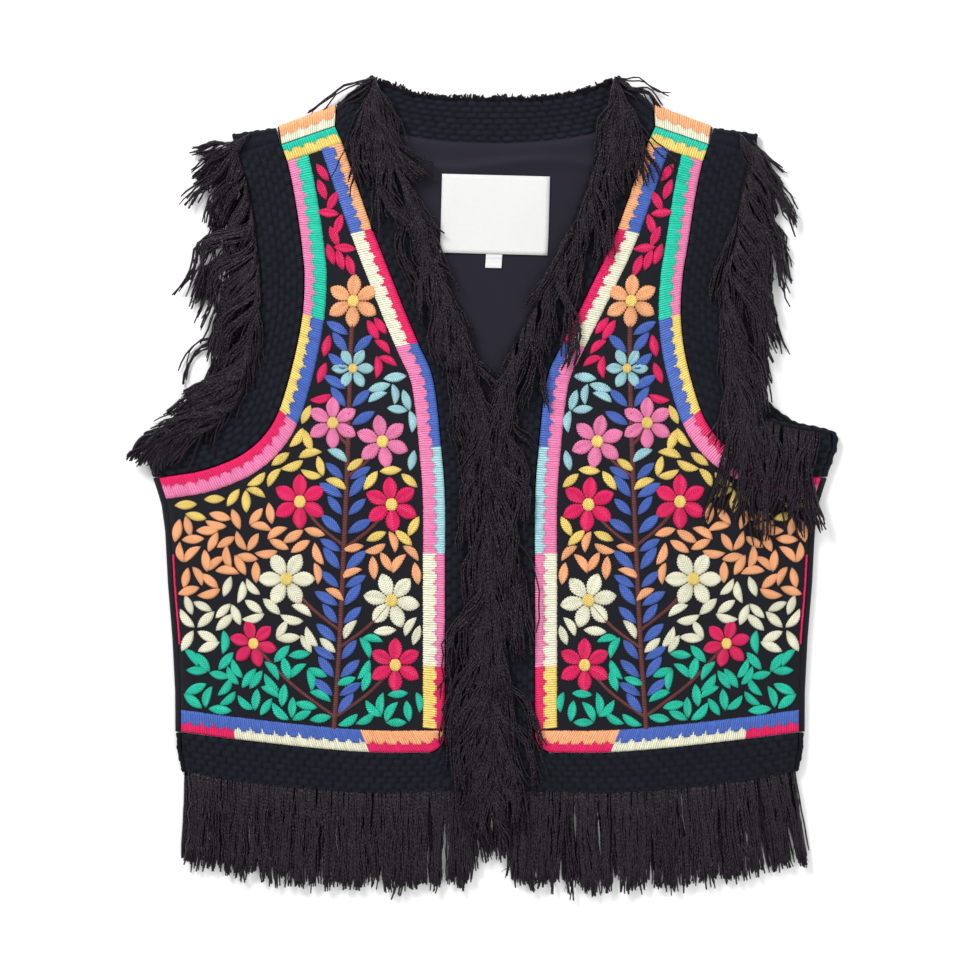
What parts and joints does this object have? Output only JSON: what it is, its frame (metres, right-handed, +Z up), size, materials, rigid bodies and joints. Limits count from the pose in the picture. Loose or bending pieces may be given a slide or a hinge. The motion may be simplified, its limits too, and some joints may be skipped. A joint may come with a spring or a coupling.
{
  "type": "fringed vest",
  "caption": "Sleeveless open-front vest in dark wool, embroidered with flowers inside a raised two-colour border, with knitted bands and long fringe, laid flat on its back.",
  "frame": {"origin": "middle of the underside of the vest's box, on the surface it lies on", "axes": "+Y from the hem to the neck, +X to the wearer's left, +Z up from the surface through the fronts"},
  "size_m": [0.4978, 0.5832, 0.0126],
  "materials": {
    "wool_ground": "matt, plain-woven navy-black wool",
    "knit_band": "matt, chunky dark navy knit",
    "lining": "smooth dark lining cloth",
    "label": "plain white woven tape",
    "embroidery": "stranded floss in satin stitch, several colours",
    "fringe": "soft twisted yarn, near black"
  },
  "bodies": {
    "root": {"back_panel": "wool_ground", "back_neck_band": "knit_band", "back_hem_band": "knit_band", "back_lining": "lining", "label": "label", "size_tab": "label", "back_neck_fringe": "fringe", "back_hem_fringe": "fringe", "right_front_panel": "wool_ground", "right_embroidered_border": "embroidery", "right_front_band": "knit_band", "right_armhole_band_front": "knit_band", "right_armhole_band_back": "knit_band", "right_hem_band": "knit_band", "right_front_fringe": "fringe", "right_armhole_fringe_front": "fringe", "right_armhole_fringe_back": "fringe", "right_hem_fringe": "fringe", "left_front_panel": "wool_ground", "left_embroidered_border": "embroidery", "left_front_band": "knit_band", "left_armhole_band_front": "knit_band", "left_armhole_band_back": "knit_band", "left_hem_band": "knit_band", "left_front_fringe": "fringe", "left_armhole_fringe_front": "fringe", "left_armhole_fringe_back": "fringe", "left_hem_fringe": "fringe"}
  },
  "joints": []
}
